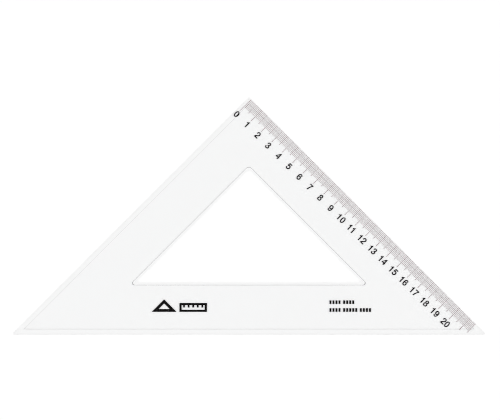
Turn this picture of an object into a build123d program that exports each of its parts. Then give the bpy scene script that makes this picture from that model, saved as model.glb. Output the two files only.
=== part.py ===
from build123d import *
from math import hypot, radians, sqrt, tan
import os

# 45 degree drawing set square, all sizes in millimetres.
#
# The set square lies flat in XY with its printed underside at Z = 0 and its thickness
# along +Z.  The longest edge (the base) runs along X at the low-Y side, the right-angled
# corner points along +Y, and the graduated edge is the leg on the +X side.
# Origin: centre of the overall footprint, on the underside.
#
# It is one clear moulding, plus the foil that is hot stamped into its underside.  Each
# group of stamped marks is one piece, seated in matching recesses in the moulding and a
# hair below flush, so that the underside still rests on its flat plastic face.  The marks
# read the right way round from above, through the plastic.

# ---------------------------------------------------------------- plate
OVERALL = 320.0            # tip to tip along the base, over the rounded corners
TIP_R = 0.7                # rounding of the three outer corners
THICK = 2.5                # plate thickness
RIM = 1.5                  # height of the vertical rim left under the outer bevels
BEVEL_BASE = 3.8           # plan width of the bevel along the base
BEVEL_SCALE = 3.25         # plan width of the bevel along the graduated leg
BEVEL_LEG = 3.4            # plan width of the bevel along the plain leg
CUT_OVER = 1.0             # how far a bevel cutter reaches outside and above the plate
CUT_END = 5.0              # how far it runs past each end of its edge

# ---------------------------------------------------------------- cut-out
HOLE_BASE = 161.8          # sharp length of its long side at the top crease
HOLE_OFFSET = 33.6         # base edge of the plate to the top crease
HOLE_BEVEL = 2.0           # plan width of the bevel round it
HOLE_RIM = 1.5             # height of the vertical wall left under that bevel
HOLE_TOP_R_BASE = 1.5      # crease rounding at the two acute corners
HOLE_TOP_R_APEX = 2.6      # crease rounding at the right-angled corner
HOLE_R_BASE = 0.8          # wall rounding at the two acute corners
HOLE_R_APEX = 1.6          # wall rounding at the right-angled corner

# ---------------------------------------------------------------- stamped marks
INK = 0.05                 # thickness of the stamped foil
RECESS = 0.06              # depth of the recess it lies in

SCALE_ZERO = 2.42          # sharp right-angled corner to the zero graduation
SCALE_MM = 215             # graduations run from 0 to this many millimetres
TICK_START = 0.15          # plastic left between the edge and the end of a graduation
TICK_MM_END = 6.85         # far end of a millimetre graduation, from the edge
TICK_HALF_END = 8.2
TICK_CM_END = 10.6
TICK_MM_W = 0.14
TICK_LONG_W = 0.19         # half centimetre and centimetre graduations

NUMERAL_TOP = 11.75        # graduated edge to the top of the numerals
NUMERAL_H = 4.4            # height of a numeral
DIGIT_PITCH = 0.72 * NUMERAL_H        # advance from one digit to the next
NUMERAL_LAST = 20          # last numbered centimetre

EMBLEM_X, EMBLEM_Y = -47.2, 19.55     # centre of the emblem, Y from the base edge
EMBLEM_W, EMBLEM_H = 37.4, 8.4
EMBLEM_HOLE_X = 4.6                   # acute corner of the small triangle to its cut-out's
EMBLEM_HOLE_Y = 1.9                   # base of the small triangle to its cut-out
RULER_W, RULER_H = 18.6, 6.0          # the ruler pictogram at the emblem's right end
RULER_LINE = 1.45                     # its line thickness
RULER_MARKS = 5
RULER_MARK_W = 0.8 * RULER_LINE
RULER_MARK_H = 1.6                    # length of a mark below the ruler's top line
RULER_OVERLAP = 0.1                   # how far a mark runs into that line

CAPTION_X = 54.7                      # left end of the two caption rows
CAPTION_Y = (21.9, 16.6)              # their centre lines, from the base edge
CAPTION_ROWS = ((4, 4), (4, 5, 4))    # blocks in each group, top row first
BLOCK_W, BLOCK_H = 1.25, 2.5          # one caption block
BLOCK_PITCH = 2.05                    # from one block to the next
GROUP_GAP = 1.9                       # clear gap between two groups of blocks

# ---------------------------------------------------------------- derived frame
# Half the sharp base, which is also the sharp height, as both legs lie at 45 degrees.
HALF = OVERALL / 2 + TIP_R / tan(radians(22.5)) - TIP_R
TOTAL_H = HALF - TIP_R * (sqrt(2) - 1)             # overall height over the rounded tip
Y0 = -TOTAL_H / 2                                  # Y of the base edge

LEFT = (-HALF, Y0)
RIGHT = (HALF, Y0)
TOP = (0.0, Y0 + HALF)

# The graduated leg's own frame: x runs down the leg from the sharp right angle, y points
# out over the edge, z is up.
SCALE_PLANE = Plane(origin=(*TOP, 0), x_dir=(1, -1, 0), z_dir=(0, 0, 1))

# ---------------------------------------------------------------- digit outlines
# A plain grotesque set of digits on a body 1000 high.  The first contour of a digit is its
# outer shape and the others are its counters.  A contour is a start point followed by
# segments: (x, y) ends a straight line, and six numbers are the two control points and
# the end of a cubic curve.
BODY_H = 1000
DIGIT_W = 640
SIX_W = 642

DIGITS = {
    "0": [[(320, 1012), (512, 1012, 640, 783, 640, 500), (640, 217, 512, -12, 320, -12),
           (128, -12, 0, 217, 0, 500), (0, 783, 128, 1012, 320, 1012)],
          [(320, 863), (408, 863, 468, 730, 468, 500), (468, 270, 408, 137, 320, 137),
           (232, 137, 172, 270, 172, 500), (172, 730, 232, 863, 320, 863)]],
    "1": [[(239, 0), (413, 0), (413, 1000), (276, 1000),
           (250, 878, 181, 830, 59, 824), (59, 688), (239, 688), (239, 0)]],
    "2": [[(0, 0), (632, 0), (632, 155), (233, 155),
           (253, 212, 336, 280, 427, 346), (560, 443, 630, 543, 630, 697),
           (630, 884, 500, 1012, 322, 1012), (130, 1012, 10, 876, 8, 637),
           (178, 637), (180, 789, 228, 859, 320, 859),
           (407, 859, 456, 796, 456, 697), (456, 605, 418, 549, 323, 480),
           (130, 344, 6, 262, 0, 0)]],
    "3": [[(20, 684), (20, 884, 138, 1012, 314, 1012), (482, 1012, 605, 904, 605, 740),
           (605, 635, 556, 557, 485, 530), (582, 504, 642, 414, 642, 297),
           (642, 112, 509, -12, 316, -12), (123, -12, 0, 104, 0, 318), (172, 318),
           (172, 194, 221, 139, 316, 139), (413, 139, 466, 198, 466, 295),
           (466, 399, 403, 449, 297, 449), (227, 449), (227, 592), (291, 592),
           (381, 592, 432, 638, 432, 728), (432, 816, 390, 863, 314, 863),
           (229, 863, 186, 810, 186, 684), (20, 684)]],
    "4": [[(364, 0), (534, 0), (534, 226), (644, 226), (644, 373), (534, 373), (534, 1000),
           (387, 1000), (-6, 386), (-6, 226), (364, 226), (364, 0)],
          [(364, 373), (364, 736), (146, 373), (364, 373)]],
    "5": [[(96, 1000), (594, 1000), (594, 845), (230, 845), (197, 652),
           (223, 682, 276, 701, 336, 701), (516, 701, 642, 563, 642, 353),
           (642, 141, 498, -12, 300, -12), (127, -12, 6, 94, 0, 293), (171, 293),
           (179, 188, 223, 137, 302, 137), (405, 137, 468, 213, 468, 349),
           (468, 476, 409, 549, 304, 549), (246, 549, 204, 528, 166, 470),
           (17, 477), (96, 1000)]],
    "6": [[(624, 734), (605, 912, 494, 1012, 338, 1012), (117, 1012, 0, 816, 0, 486),
           (0, 164, 107, -12, 326, -12), (516, -12, 642, 130, 642, 330),
           (642, 526, 520, 663, 347, 663), (265, 663, 197, 626, 165, 571),
           (176, 765, 230, 863, 341, 863), (405, 863, 444, 825, 454, 734),
           (624, 734)],
          [(328, 514), (413, 514, 472, 433, 472, 324), (472, 216, 413, 135, 328, 135),
           (243, 135, 184, 216, 184, 324), (184, 433, 243, 514, 328, 514)]],
    "7": [[(4, 1000), (636, 1000), (636, 867), (456, 679, 345, 372, 316, 0),
           (132, 0), (170, 356, 291, 659, 445, 842), (4, 842), (4, 1000)]],
    "8": [[(320, 1012), (490, 1012, 605, 902, 605, 748), (605, 643, 556, 565, 503, 535),
           (586, 500, 648, 410, 648, 295), (648, 107, 509, -12, 320, -12),
           (131, -12, -8, 107, -8, 295), (-8, 410, 54, 500, 137, 535),
           (84, 565, 35, 643, 35, 748), (35, 902, 150, 1012, 320, 1012)],
          [(320, 867), (391, 867, 436, 813, 436, 732), (436, 652, 391, 598, 320, 598),
           (249, 598, 204, 652, 204, 732), (204, 813, 249, 867, 320, 867)],
          [(320, 461), (414, 461, 474, 393, 474, 295), (474, 196, 414, 129, 320, 129),
           (226, 129, 166, 196, 166, 295), (166, 393, 226, 461, 320, 461)]],
}


def half_turn(segment):
    """A point or segment of the six, turned half a turn about the middle of its body."""
    return tuple((BODY_H if i % 2 else SIX_W) - value for i, value in enumerate(segment))


DIGITS["9"] = [[half_turn(segment) for segment in contour] for contour in DIGITS["6"]]


# ---------------------------------------------------------------- outlines of the marks
def tick_sketch(positions, far_end, width):
    """Graduations at these millimetre positions, from near the edge to far_end."""
    length = far_end - TICK_START
    with BuildSketch(SCALE_PLANE) as ticks:
        with Locations(*[(SCALE_ZERO + p, -(TICK_START + length / 2)) for p in positions]):
            Rectangle(width, length)
    return ticks.sketch


def draw_contour(contour, left, bottom):
    """Add one digit contour to the open BuildLine, with its body's corner at left, bottom."""
    scale = NUMERAL_H / BODY_H
    last = None
    for segment in contour:
        points = [(left + x * scale, bottom + y * scale)
                  for x, y in zip(segment[::2], segment[1::2])]
        if last and len(points) == 1:
            Line(last, *points)
        elif last:
            Bezier(last, *points)
        last = points[-1]


def numeral_sketch(number):
    """All digits of a numeral, centred on its centimetre graduation."""
    text = str(number)
    width = DIGIT_PITCH * (len(text) - 1) + DIGIT_W * NUMERAL_H / BODY_H
    left = SCALE_ZERO + 10 * number - width / 2
    with BuildSketch(SCALE_PLANE) as numeral:
        for place, digit in enumerate(text):
            for i, contour in enumerate(DIGITS[digit]):
                with BuildLine():
                    draw_contour(contour, left + place * DIGIT_PITCH,
                                 -(NUMERAL_TOP + NUMERAL_H))
                make_face(mode=Mode.SUBTRACT if i else Mode.ADD)
    return numeral.sketch


def emblem_sketch():
    """A small set square pictogram, with a ruler pictogram to its right."""
    left, bottom = -EMBLEM_W / 2, -EMBLEM_H / 2
    middle = left + EMBLEM_H               # the triangle is twice as wide as it is high
    hole_half = EMBLEM_H - EMBLEM_HOLE_X
    hole_y = bottom + EMBLEM_HOLE_Y
    with BuildSketch(Plane((EMBLEM_X, Y0 + EMBLEM_Y, 0))) as emblem:
        with BuildLine():
            Polyline((left, bottom), (middle + EMBLEM_H, bottom),
                     (middle, bottom + EMBLEM_H), (left, bottom))
        make_face()
        with BuildLine():
            Polyline((middle - hole_half, hole_y), (middle + hole_half, hole_y),
                     (middle, hole_y + hole_half), (middle - hole_half, hole_y))
        make_face(mode=Mode.SUBTRACT)

        with Locations(((EMBLEM_W - RULER_W) / 2, (RULER_H - EMBLEM_H) / 2)):
            Rectangle(RULER_W, RULER_H)
            Rectangle(RULER_W - 2 * RULER_LINE, RULER_H - 2 * RULER_LINE, mode=Mode.SUBTRACT)
            with GridLocations(RULER_W / (RULER_MARKS + 1), 0, RULER_MARKS, 1):
                with Locations((0, RULER_H / 2 - RULER_LINE
                                - (RULER_MARK_H - RULER_OVERLAP) / 2)):
                    Rectangle(RULER_MARK_W, RULER_MARK_H + RULER_OVERLAP)
    return emblem.sketch


def caption_sketch():
    """Two rows of plain blocks, in groups."""
    with BuildSketch(Plane((CAPTION_X, Y0, 0))) as caption:
        for row_y, groups in zip(CAPTION_Y, CAPTION_ROWS):
            first_x = BLOCK_W / 2
            for count in groups:
                with Locations(*[(first_x + k * BLOCK_PITCH, row_y) for k in range(count)]):
                    Rectangle(BLOCK_W, BLOCK_H)
                first_x += (count - 1) * BLOCK_PITCH + BLOCK_W + GROUP_GAP
    return caption.sketch


def mark_sketches():
    """Outline of every stamped piece, by piece name."""
    steps = range(SCALE_MM + 1)
    marks = {
        "millimetre_ticks": tick_sketch([i for i in steps if i % 5], TICK_MM_END, TICK_MM_W),
        "half_centimetre_ticks": tick_sketch([i for i in steps if i % 10 == 5],
                                             TICK_HALF_END, TICK_LONG_W),
        "centimetre_ticks": tick_sketch([i for i in steps if i % 10 == 0],
                                        TICK_CM_END, TICK_LONG_W),
    }
    for number in range(NUMERAL_LAST + 1):
        marks[f"numeral_{number:02d}"] = numeral_sketch(number)
    marks["emblem_print"] = emblem_sketch()
    marks["caption_print"] = caption_sketch()
    return marks


# ---------------------------------------------------------------- the moulding
def edge_plane(start, end):
    """Cross-section plane of an outer edge (x inward, y up), and the edge's length."""
    run_x, run_y = end[0] - start[0], end[1] - start[1]
    length = hypot(run_x, run_y)
    run_x, run_y = run_x / length, run_y / length
    plane = Plane(origin=(*start, 0), x_dir=(-run_y, run_x, 0), z_dir=(run_x, run_y, 0))
    return plane, length


def hole_section(height, inset, base_r, apex_r):
    """Rounded triangle of the cut-out at a height, moved in by inset on all three sides."""
    base_y = Y0 + HOLE_OFFSET + inset
    half = HOLE_BASE / 2 - inset * (1 + sqrt(2))
    with BuildSketch(Plane.XY.offset(height)) as section:
        with BuildLine():
            Polyline((-half, base_y), (half, base_y), (0.0, base_y + half), (-half, base_y))
        make_face()
        fillet(section.vertices().group_by(Axis.Y)[0], base_r)
        fillet(section.vertices().group_by(Axis.Y)[-1], apex_r)
    return section.sketch


def make_plate(marks):
    wall_foot = hole_section(0, HOLE_BEVEL, HOLE_R_BASE, HOLE_R_APEX)
    wall_top = hole_section(HOLE_RIM, HOLE_BEVEL, HOLE_R_BASE, HOLE_R_APEX)
    crease = hole_section(THICK, 0, HOLE_TOP_R_BASE, HOLE_TOP_R_APEX)

    with BuildPart() as plate:
        # outline with its three rounded corners
        with BuildSketch() as outline:
            with BuildLine():
                Polyline(LEFT, RIGHT, TOP, LEFT)
            make_face()
            fillet(outline.vertices(), TIP_R)
        extrude(amount=THICK)

        # the three outer bevels, each its own width, meeting in mitre lines
        for start, end, width in ((LEFT, RIGHT, BEVEL_BASE), (RIGHT, TOP, BEVEL_SCALE),
                                  (TOP, LEFT, BEVEL_LEG)):
            section, length = edge_plane(start, end)
            slope = (THICK - RIM) / width
            low = (-CUT_OVER, RIM - slope * CUT_OVER)
            with BuildSketch(section.offset(-CUT_END)):
                with BuildLine():
                    Polyline(low, (width + CUT_OVER / slope, THICK + CUT_OVER),
                             (-CUT_OVER, THICK + CUT_OVER), low)
                make_face()
            extrude(amount=length + 2 * CUT_END, mode=Mode.SUBTRACT)

        # the cut-out: straight wall below, bevel above
        extrude(wall_foot, amount=HOLE_RIM, mode=Mode.SUBTRACT)
        loft([wall_top, crease], ruled=True, mode=Mode.SUBTRACT)

        # shallow recesses in the underside for the stamped foil
        for sketch in marks.values():
            extrude(sketch, amount=RECESS, mode=Mode.SUBTRACT)
    return plate.part


# ---------------------------------------------------------------- the stamped foil
def make_foil(sketch):
    """Foil lying against the inner face of its recess."""
    with BuildPart() as foil:
        extrude(sketch.moved(Location((0, 0, RECESS - INK))), amount=INK)
    return foil.part


# ---------------------------------------------------------------- pieces
def write_piece(name, part):
    part.label = name
    export_step(part, f"parts/{name}.step")


os.makedirs("parts", exist_ok=True)
MARKS = mark_sketches()
write_piece("plate", make_plate(MARKS))
for mark_name, mark_sketch in MARKS.items():
    write_piece(mark_name, make_foil(mark_sketch))
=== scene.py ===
# A clear moulded set square with two 45 degree corners and a triangular cut-out, its marks
# stamped in foil.  It lies flat in XY with its underside at z = 0: the base runs along x at
# low y, the right angle points to +y, the scale leg is on the +x side, the plain leg on -x.
import math
from collections import namedtuple

import bmesh
import bpy
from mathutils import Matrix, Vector


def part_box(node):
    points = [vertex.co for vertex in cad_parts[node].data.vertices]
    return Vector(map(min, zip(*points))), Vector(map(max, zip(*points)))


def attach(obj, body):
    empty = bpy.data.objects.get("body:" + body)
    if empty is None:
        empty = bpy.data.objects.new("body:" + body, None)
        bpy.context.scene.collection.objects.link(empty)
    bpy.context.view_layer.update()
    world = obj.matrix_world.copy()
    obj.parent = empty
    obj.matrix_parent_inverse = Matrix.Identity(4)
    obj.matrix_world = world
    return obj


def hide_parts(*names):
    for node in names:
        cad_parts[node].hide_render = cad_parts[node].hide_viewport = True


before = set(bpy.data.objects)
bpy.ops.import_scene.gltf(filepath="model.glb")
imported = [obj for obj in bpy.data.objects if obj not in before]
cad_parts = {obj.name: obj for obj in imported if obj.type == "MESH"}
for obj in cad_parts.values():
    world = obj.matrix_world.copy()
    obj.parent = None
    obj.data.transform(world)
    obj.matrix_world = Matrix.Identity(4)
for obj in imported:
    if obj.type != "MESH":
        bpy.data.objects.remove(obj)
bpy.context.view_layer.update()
low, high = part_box("plate")
scene = bpy.context.scene

# ------------------------------------------------------------------ plate sizes, millimetres
MM = 0.001                          # metres in a millimetre
THICK = (high.z - low.z) / MM
Y_BASE = low.y / MM
TIP_R = 0.7                         # rounding of the outer corners, seen from above
# half the base, measured to the sharp corners that the tips are rounded from
HALF = (high.x - low.x) / MM / 2 + TIP_R / math.tan(math.radians(22.5)) - TIP_R
RIM = 1.5                           # height of the upright outer side
BEVEL_BASE, BEVEL_SCALE, BEVEL_LEG = 3.8, 3.25, 3.4     # widths of the outer bevels
EDGE = 0.14                         # rounding of the moulding's edges
CREASE = 0.24                       # half width of the soft fold where a bevel meets the top
EDGE_R_LOSS = 0.04                  # how much the corner radius shrinks over the rim's edge,
BEVEL_R_LOSS = 0.3                  # up the bevel
FOLD_R_LOSS = 0.05                  # and over the fold,
FOLD_R = 0.36                       # which starts at this radius

HOLE_HALF = 161.8 / 2               # half the cut-out's long side, to its sharp corners
HOLE_OFFSET = 33.6                  # from the plate's base to the cut-out's
HOLE_BEVEL = 2.0
HOLE_RIM = 1.5                      # height of the cut-out's upright wall
HOLE_ACUTE_R = (0.8, 1.5)           # corner radii of the cut-out, at its wall and at the top
HOLE_RIGHT_R = (1.6, 2.6)
HOLE_EDGE_GROW = 0.08               # share of that change over the wall's edge,
HOLE_FOLD_GROW = 0.1                # and over the fold

ARC = 12                            # points round each rounded corner
SIDE = 36                           # steps along each straight side
EDGE_STEPS = 4                      # steps across a rounded edge,
FOLD_STEPS = 6                      # across a fold,
SPAN_STEPS = 10                     # and across the top or the underside

# Painted shade in the folds and along the edges: darkness of the mesh's "fold" attribute, 0 to 1
OUTER_FOLD_SHADE = (0.44, 0.36, 0.62)     # outer folds: scale leg, plain leg, base
HOLE_FOLD_SHADE = 0.78                    # fold round the cut-out
EDGE_FOLD_SHADE = 0.40                    # painted shade on the rounded top of the rim
BEVEL_SHADE = 0.12                  # fades from the rim up the bevel


# ------------------------------------------------------------------ shader graphs
def grey(value):
    return (value, value, value, 1.0)


class Graph:
    """The emptied node tree of a material or world, with its output node."""

    def __init__(self, owner, output="OutputMaterial"):
        owner.use_nodes = True
        self.tree = owner.node_tree
        self.tree.nodes.clear()
        self.output = self.add(output)

    def add(self, kind, *values, **named):
        """Add a node.  Positional values fill its inputs in order.  A capitalised keyword is
        an input, with _ for a space, and a lower-case one is a setting.  An input takes a
        plain value or the output socket that feeds it."""
        made = self.tree.nodes.new("ShaderNode" + kind)
        for key, value in named.items():
            if key[0].islower():
                setattr(made, key, value)
        pairs = list(zip(made.inputs, values))
        pairs += [(made.inputs[key.replace("_", " ")], value)
                  for key, value in named.items() if key[0].isupper()]
        for socket, value in pairs:
            if isinstance(value, bpy.types.NodeSocket):
                self.tree.links.new(value, socket)
            else:
                socket.default_value = value
        return made

    def coords(self, kind="Object"):
        return self.add("TexCoord").outputs[kind]

    def noise(self, vector, **inputs):
        return self.add("TexNoise", Vector=vector, **inputs).outputs["Fac"]

    def attribute(self, name):
        return self.add("Attribute", attribute_name=name).outputs["Fac"]

    def calc(self, operation, *values):
        return self.add("Math", *values, operation=operation).outputs["Value"]

    def mix(self, factor, a, b):
        return self.add("Mix", data_type="RGBA", Factor=factor, A=a, B=b).outputs["Result"]

    def remap(self, value, source=(0.0, 1.0), target=(0.0, 1.0)):
        return self.add("MapRange", Value=value, From_Min=source[0], From_Max=source[1],
                        To_Min=target[0], To_Max=target[1]).outputs["Result"]

    def bump(self, height, **named):
        return self.add("Bump", Height=height, **named).outputs["Normal"]

    def finish(self, **sockets):
        for name, socket in sockets.items():
            self.tree.links.new(socket, self.output.inputs[name])


# ------------------------------------------------------------------ clear moulded plastic
POLISH = 0.018                      # mean roughness of the faces
MARK_ROUGH = 0.05                   # roughness added by handling marks,
FOLD_ROUGH = 0.12                   # by folds
RIM_ROUGH = 0.20                    # and by the satin rims
MARK_SETS = ((0.6, 3.1), (-1.1, 9.7))       # handling marks: direction in radians, offset


def handling_marks(graph, coords):
    """Hairlines: crossed sets of stretched noise, only their highest peaks."""
    peaks = []
    for angle, offset in MARK_SETS:
        stretched = graph.add("Mapping", Vector=coords, Rotation=(0.0, 0.0, angle),
                              Location=(offset, offset * 0.7, 0.0),
                              Scale=(60.0, 4200.0, 60.0)).outputs["Vector"]
        fine = graph.noise(stretched, Scale=1.0, Detail=1.0)
        peaks.append(graph.remap(fine, source=(0.70, 0.80)))
    return graph.calc("MAXIMUM", *peaks)


def clear_plastic(name):
    """Clear acrylic.  The mesh attribute "fold" is painted shade: it darkens the soft folds
    between faces, and dulls them.  "satin" dulls the rims, which are less polished than the
    faces."""
    material = bpy.data.materials.new(name)
    graph = Graph(material)
    coords = graph.coords()

    # long, very shallow waves left by the mould, with the handling marks on top
    waves = graph.noise(coords, Scale=34.0, Detail=2.0, Roughness=0.45)
    wavy = graph.bump(waves, Strength=0.20, Distance=0.00006)
    marks = handling_marks(graph, coords)
    normal = graph.bump(marks, Strength=0.06, Distance=0.00001, invert=True, Normal=wavy)

    # polished, with faint cloudy patches
    clouds = graph.noise(coords, Scale=11.0, Detail=4.0, Roughness=0.55)
    rough = graph.remap(clouds, source=(0.3, 0.7), target=(POLISH * 0.6, POLISH * 1.6))
    rough = graph.calc("MULTIPLY_ADD", marks, MARK_ROUGH, rough)

    # colour: clear, its tone shifting a trace with the patches, with painted shade darkening it
    # in the folds
    tone = graph.mix(clouds, (0.9970, 0.9932, 0.9934, 1.0), (0.9990, 0.9952, 0.9944, 1.0))
    fold = graph.attribute("fold")
    shade = graph.mix(fold, tone, grey(0.0))
    rough = graph.calc("MULTIPLY_ADD", fold, FOLD_ROUGH, rough)
    rough = graph.calc("MULTIPLY_ADD", graph.attribute("satin"), RIM_ROUGH, rough)
    glass = graph.add("BsdfPrincipled", IOR=1.49, Transmission_Weight=1.0, Base_Color=shade,
                      Roughness=rough, Normal=normal).outputs["BSDF"]

    # light on its way to the floor passes straight through, so the floor stays evenly lit
    path = graph.add("LightPath").outputs
    to_floor = graph.calc("MAXIMUM", path["Is Shadow Ray"], path["Is Diffuse Ray"])
    through = graph.add("BsdfTransparent", Color=grey(0.996)).outputs["BSDF"]
    surface = graph.add("MixShader", to_floor, glass, through).outputs["Shader"]

    # a trace of colour over long paths inside the plate, so its rims read cool
    depth = graph.add("VolumeAbsorption", Density=6.0, Color=(0.58, 0.80, 0.83, 1.0))
    graph.finish(Surface=surface, Volume=depth.outputs["Volume"])
    return material


# ------------------------------------------------------------------ stamped foil
FOIL = {                    # darkest and lightest tone of the film, for each kind of mark
    "ticks": ((0.225, 0.043, 0.080), (0.255, 0.057, 0.098)),
    "numeral": ((0.0060, 0.0040, 0.0048), (0.0105, 0.0070, 0.0083)),
    "print": ((0.0022, 0.0018, 0.0019), (0.0042, 0.0035, 0.0037)),
}
PINHOLE_GAIN = 2.5          # how much lighter than the lightest tone a pinhole is
# painted shade for the film's reflected images: near black
FOIL_REFLECTED_SHADE = (0.020, 0.019, 0.020, 1.0)


def stamped_foil(name, seed):
    kind = "ticks" if "ticks" in name else "numeral" if "numeral" in name else "print"
    dark, light = FOIL[kind]
    material = bpy.data.materials.new(name)
    graph = Graph(material)
    place = graph.add("Mapping", Vector=graph.coords(),
                      Location=(seed * 0.37, seed * 0.71, 0.0)).outputs["Vector"]

    # the film is a little thinner in soft patches, and has fine pinholes
    patches = graph.noise(place, Scale=420.0, Detail=3.0)
    grain = graph.noise(place, Scale=5200.0, Detail=2.0)
    pinholes = graph.remap(grain, source=(0.68, 0.78))
    tone = graph.mix(patches, (*dark, 1.0), (*light, 1.0))
    worn = graph.mix(pinholes, tone, (*(v * PINHOLE_GAIN for v in light), 1.0))
    normal = graph.bump(grain, Strength=0.15, Distance=0.000004)
    rough = graph.remap(patches, target=(0.42, 0.62))

    # read straight through the plate the film keeps its own tone; its long reflected images
    # along the plate's rims get painted shade, a near-black colour in place of that tone
    bounces = graph.add("LightPath").outputs["Ray Depth"]
    direct = graph.calc("LESS_THAN", bounces, 1.5)
    seen = graph.mix(direct, FOIL_REFLECTED_SHADE, worn)
    film = graph.add("BsdfPrincipled", Specular_IOR_Level=0.08, Base_Color=seen,
                     Roughness=rough, Normal=normal)
    graph.finish(Surface=film.outputs["BSDF"])
    return material


# ------------------------------------------------------------------ rings of the plate
def triangle_lines(base_y, half, insets):
    """Inward lines of the triangle (unit normal, offset), each moved in by its own inset.
    Order: base, scale leg, plain leg."""
    s = math.sqrt(0.5)
    apex = base_y + half
    return [((0.0, 1.0), base_y + insets[0]),
            ((-s, -s), -s * apex + insets[1]),
            ((s, -s), -s * apex + insets[2])]


def meet(first, second):
    """Point where two lines cross."""
    (ax, ay), a_offset = first
    (bx, by), b_offset = second
    det = ax * by - ay * bx
    return Vector(((a_offset * by - ay * b_offset) / det,
                   (ax * b_offset - a_offset * bx) / det))


def corner_arc(first, second, radius):
    """Points round the corner between two lines, anticlockwise."""
    normal_1, normal_2 = Vector(first[0]), Vector(second[0])
    reach = radius / (1 + normal_1.dot(normal_2))
    centre = meet(first, second) + (normal_1 + normal_2) * reach
    start = math.atan2(-normal_1.y, -normal_1.x)
    end = math.atan2(-normal_2.y, -normal_2.x)
    while end < start:
        end += 2 * math.pi
    angles = [start + (end - start) * k / (ARC - 1) for k in range(ARC)]
    return [centre + Vector((math.cos(a), math.sin(a))) * radius for a in angles]


def ring(base_y, half, insets, radii, z):
    """Closed loop of points of a rounded triangle.  radii: right tip, apex, left tip.
    Each corner's arc is followed by a side: scale leg, plain leg, base."""
    base, scale, leg = triangle_lines(base_y, half, insets)
    arcs = [corner_arc(first, second, radius)
            for (first, second), radius in zip(((base, scale), (scale, leg), (leg, base)), radii)]
    points = []
    for i, arc in enumerate(arcs):
        points += arc
        start, end = arc[-1], arcs[(i + 1) % 3][0]
        # steps are shorter near the corners
        points += [start.lerp(end, 0.5 - 0.5 * math.cos(math.pi * k / SIDE))
                   for k in range(1, SIDE)]
    return [Vector((p.x, p.y, z)) for p in points]


def outer_ring(t, z, radius, extra=0.0):
    """Ring at t of each bevel's own width, moved in by extra."""
    insets = [width * t + extra for width in (BEVEL_BASE, BEVEL_SCALE, BEVEL_LEG)]
    return ring(Y_BASE, HALF, insets, [radius] * 3, z)


def hole_ring(out, z, grow):
    """Ring of the cut-out, out millimetres outside its wall; grow 0 to 1 opens its corners."""
    acute, right = (wall + (top - wall) * grow
                    for wall, top in (HOLE_ACUTE_R, HOLE_RIGHT_R))
    return ring(Y_BASE + HOLE_OFFSET, HOLE_HALF, [HOLE_BEVEL - out] * 3,
                (acute, right, acute), z)


# ------------------------------------------------------------------ rows of the plate's mesh
# A ring's points, whether the band that follows it is rounded, its painted fold shade on each
# side (scale leg, plain leg, base) and its satin value
Row = namedtuple("Row", "points rounded fold satin", defaults=(False, (0.0,) * 3, 0.0))


def edge_height(s, rim, drop, reach):
    """Height at s, 0 to 1, round the edge from an upright rim into a bevel that climbs drop;
    the edge ends at share reach of the bevel."""
    return (1 - s) ** 2 * (rim - EDGE) + 2 * s * (1 - s) * rim + s * s * (rim + drop * reach)


def fold_height(s, drop, reach):
    """Height in the fold at s, -reach on the bevel to reach on the top."""
    return THICK - drop * (reach - s) ** 2 / (4 * reach)


def outer_rows():
    """Up the outer side, from the underside to the top."""
    drop = THICK - RIM
    rows = []
    for k in range(EDGE_STEPS + 1):
        angle = math.pi / 2 * k / EDGE_STEPS
        points = outer_ring(0, EDGE * (1 - math.cos(angle)), TIP_R, EDGE * (1 - math.sin(angle)))
        rows.append(Row(points, k < EDGE_STEPS, satin=k / EDGE_STEPS))
    rows.append(Row(outer_ring(0, RIM * 0.5, TIP_R), satin=1.0))

    # rounding from the rim into the bevel
    reach = EDGE / BEVEL_LEG
    for k in range(EDGE_STEPS + 1):
        s = k / EDGE_STEPS
        points = outer_ring(s * s * reach, edge_height(s, RIM, drop, reach),
                            TIP_R - EDGE_R_LOSS * s)
        # painted shade, darkest on the rim's rounded edge and fading up the bevel
        fold = EDGE_FOLD_SHADE * math.sin(math.pi * s) + BEVEL_SHADE * s
        rows.append(Row(points, k < EDGE_STEPS, (fold,) * 3, 1 - s))

    # bevel, and the soft fold into the top
    for t in (0.35, 0.65):
        rows.append(Row(outer_ring(t, RIM + drop * t, TIP_R - BEVEL_R_LOSS * t)))
    reach = CREASE / BEVEL_LEG
    for k in range(FOLD_STEPS + 1):
        s = -reach + 2 * reach * k / FOLD_STEPS
        points = outer_ring(1 + s, fold_height(s, drop, reach),
                            FOLD_R - FOLD_R_LOSS * k / FOLD_STEPS)
        # painted shade along the fold, darkest at its middle
        fold = [side * math.sin(math.pi * k / FOLD_STEPS) for side in OUTER_FOLD_SHADE]
        rows.append(Row(points, k < FOLD_STEPS, fold))
    return rows


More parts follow.
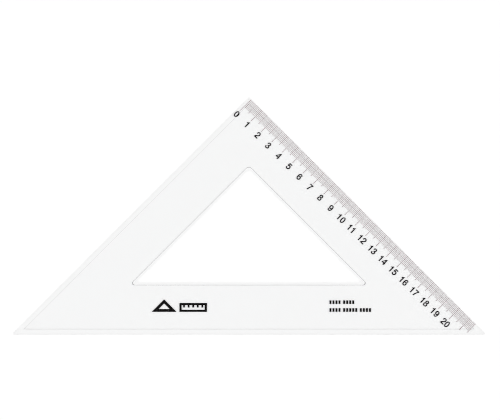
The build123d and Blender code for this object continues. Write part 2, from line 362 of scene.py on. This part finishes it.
def hole_rows():
    """Down the cut-out, from the top to the underside."""
    drop = THICK - HOLE_RIM
    reach = CREASE / HOLE_BEVEL
    rows = []
    for k in range(FOLD_STEPS + 1):
        s = reach - 2 * reach * k / FOLD_STEPS
        points = hole_ring(HOLE_BEVEL * (1 + s), fold_height(s, drop, reach),
                           1.0 - HOLE_FOLD_GROW * k / FOLD_STEPS)
        # painted shade along the fold round the cut-out, darkest at its middle
        fold = HOLE_FOLD_SHADE * math.sin(math.pi * k / FOLD_STEPS)
        rows.append(Row(points, k < FOLD_STEPS, (fold,) * 3))
    rows.append(Row(hole_ring(HOLE_BEVEL * 0.5, HOLE_RIM + drop * 0.5, 0.5)))

    # rounding from the bevel into the wall
    for k in range(EDGE_STEPS + 1):
        s = 1 - k / EDGE_STEPS
        points = hole_ring(s * s * EDGE, edge_height(s, HOLE_RIM, drop, EDGE / HOLE_BEVEL),
                           HOLE_EDGE_GROW * s)
        rows.append(Row(points, k < EDGE_STEPS, satin=k / EDGE_STEPS))

    # wall, and the rounding into the underside
    rows.append(Row(hole_ring(0, HOLE_RIM * 0.5, 0.0), satin=1.0))
    for k in range(EDGE_STEPS + 1):
        angle = math.pi / 2 * k / EDGE_STEPS
        points = hole_ring(EDGE * (1 - math.cos(angle)), EDGE * (1 - math.sin(angle)), 0.0)
        rows.append(Row(points, k < EDGE_STEPS, satin=1 - k / EDGE_STEPS))
    return rows


def span_rows(start, end):
    """Flat rows strictly between two rows."""
    return [Row([a.lerp(b, k / SPAN_STEPS) for a, b in zip(start.points, end.points)])
            for k in range(1, SPAN_STEPS)]


# ------------------------------------------------------------------ the plate
def shading_normals(mesh, rows, count):
    """A flat band keeps its own normal right up to its border, and a rounding takes the flat
    band's normal there and turns smoothly in between."""
    face_normal = [p.normal.copy() for p in mesh.polygons]

    def band_normal(band, col):
        start = band * count
        return (face_normal[start + col] + face_normal[start + (col - 1) % count]).normalized()

    normals = []
    for polygon in mesh.polygons:
        band = polygon.index // count
        for loop in polygon.loop_indices:
            row, col = divmod(mesh.loops[loop].vertex_index, count)
            before = (row - 1) % len(rows)
            if not rows[band].rounded:
                normal = band_normal(band, col)
            elif not rows[before].rounded:
                normal = band_normal(before, col)
            elif not rows[row].rounded:
                normal = band_normal(row, col)
            else:
                normal = (band_normal(before, col) + band_normal(row, col)).normalized()
            normals.append(normal)
    return normals


def point_attribute(mesh, name, values):
    attribute = mesh.attributes.new(name, "FLOAT", "POINT")
    for item, value in zip(attribute.data, values):
        item.value = value


def plate_mesh():
    """The moulding as one closed grid of quads: up the outer side, over the top, down the
    cut-out and back across the underside."""
    outer, hole = outer_rows(), hole_rows()
    rows = outer + span_rows(outer[-1], hole[0]) + hole + span_rows(hole[-1], outer[0])
    count = len(rows[0].points)
    verts = [tuple(p * MM) for row in rows for p in row.points]
    faces = []
    for i in range(len(rows)):
        this, following = i * count, (i + 1) % len(rows) * count
        for j in range(count):
            beside = (j + 1) % count
            faces.append((this + j, this + beside, following + beside, following + j))
    mesh = bpy.data.meshes.new("plate_clear")
    mesh.from_pydata(verts, [], faces)
    # the band after the outer rows lies on the top, so it must face up
    if mesh.polygons[len(outer) * count].normal.z < 0:
        mesh.flip_normals()
    for polygon in mesh.polygons:
        polygon.use_smooth = True
    # the painted shade of each row, per side of the triangle
    point_attribute(mesh, "fold",
                    [row.fold[j // (ARC + SIDE - 1)] for row in rows for j in range(count)])
    point_attribute(mesh, "satin", [row.satin for row in rows for _ in range(count)])
    mesh.normals_split_custom_set(shading_normals(mesh, rows, count))
    return mesh


plate = bpy.data.objects.new("plate_clear", plate_mesh())
scene.collection.objects.link(plate)
plate.data.materials.append(clear_plastic("clear_plastic"))
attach(plate, "root")
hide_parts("plate")

# ------------------------------------------------------------------ foil on the CAD nodes
for index, name in enumerate(sorted(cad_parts)):
    if name != "plate":
        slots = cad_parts[name].data.materials
        foil = stamped_foil("stamped_foil_" + name, index)
        slots.clear()
        slots.append(foil)

# ------------------------------------------------------------------ floor, metres
FLOOR_HALF = 6.0
FLOOR_GAP = 0.00035                 # below the plate


def pale_floor():
    """Pale paper with a glow that rises with distance, so the far floor runs into the wall."""
    material = bpy.data.materials.new("pale_floor")
    graph = Graph(material)
    paper = graph.add("BsdfDiffuse", Color=grey(0.88)).outputs["BSDF"]
    distance = graph.add("VectorMath", graph.coords(), operation="LENGTH").outputs["Value"]
    strength = graph.remap(distance, source=(1.2, 5.0), target=(0.30, 0.52))
    glow = graph.add("Emission", Strength=strength).outputs["Emission"]
    graph.finish(Surface=graph.add("AddShader", paper, glow).outputs["Shader"])
    return material


floor_mesh = bpy.data.meshes.new("floor")
bm = bmesh.new()
bmesh.ops.create_grid(bm, x_segments=8, y_segments=8, size=FLOOR_HALF)
bm.to_mesh(floor_mesh)
bm.free()
floor = bpy.data.objects.new("floor", floor_mesh)
floor.location = (0, 0, low.z - FLOOR_GAP)
scene.collection.objects.link(floor)
floor.data.materials.append(pale_floor())

# ------------------------------------------------------------------ light: a soft studio
# Light grey walls low down, which give the clear plate a tone from low angles, a dark
# ceiling, so that the top and its bevels mirror nothing bright towards a camera overhead,
# and two soft boxes to the left and right.
HORIZON, ZENITH = 0.66, 0.010       # greys at the ends of the ramp
WALLS = ((0.10, 0.74), (0.30, 0.85), (0.44, 0.72), (0.56, 0.08), (0.90, 0.04))  # height, grey
BOX_X, BOX_Z = 2.68, 2.42           # soft boxes, metres from the origin

world = bpy.data.worlds.new("studio")
scene.world = world
graph = Graph(world, "OutputWorld")
split = graph.add("SeparateXYZ", Vector=graph.coords("Generated"))
ramp = graph.add("ValToRGB", Fac=split.outputs["Z"])
ramp.color_ramp.interpolation = "EASE"
elements = ramp.color_ramp.elements
elements[0].color = grey(HORIZON)
elements[1].color = grey(ZENITH)
for position, value in WALLS:
    elements.new(position).color = grey(value)
back = graph.add("Background", Color=ramp.outputs["Color"], Strength=1.02)
graph.finish(Surface=back.outputs["Background"])

for side, x in (("left", -BOX_X), ("right", BOX_X)):
    light = bpy.data.lights.new("softbox_" + side, "AREA")
    light.shape = "DISK"
    light.size = 1.5
    light.energy = 58.0
    lamp = bpy.data.objects.new("softbox_" + side, light)
    place = Vector((x, 0.0, BOX_Z))
    lamp.location = place
    lamp.rotation_euler = (Vector((0, 0, 0)) - place).to_track_quat("-Z", "Y").to_euler()
    scene.collection.objects.link(lamp)

# ------------------------------------------------------------------ camera, straight above
VIEW_WIDTH = 0.3393                 # metres across the view,
VIEW_HEIGHT = 0.0005                # at this height over the plate's underside
VIEW_SHIFT = (0.00075, 0.00410)     # from the plate's centre

camera_data = bpy.data.cameras.new("camera")
camera_data.lens = 120.0
camera_data.sensor_width = 36.0
camera_data.clip_end = 50.0
camera = bpy.data.objects.new("camera", camera_data)
camera.location = ((low.x + high.x) / 2 + VIEW_SHIFT[0], (low.y + high.y) / 2 + VIEW_SHIFT[1],
                   low.z + VIEW_HEIGHT + VIEW_WIDTH * camera_data.lens / camera_data.sensor_width)
scene.collection.objects.link(camera)
scene.camera = camera

# ------------------------------------------------------------------ render
# light piped along the clear plate reflects many times inside it before it leaves at a rim
scene.cycles.max_bounces = 48
scene.cycles.glossy_bounces = 48
scene.cycles.transmission_bounces = 48
scene.cycles.transparent_max_bounces = 24
scene.cycles.filter_width = 1.0
scene.view_settings.view_transform = "Standard"
scene.view_settings.look = "None"
scene.view_settings.exposure = 0.0
scene.view_settings.gamma = 1.0
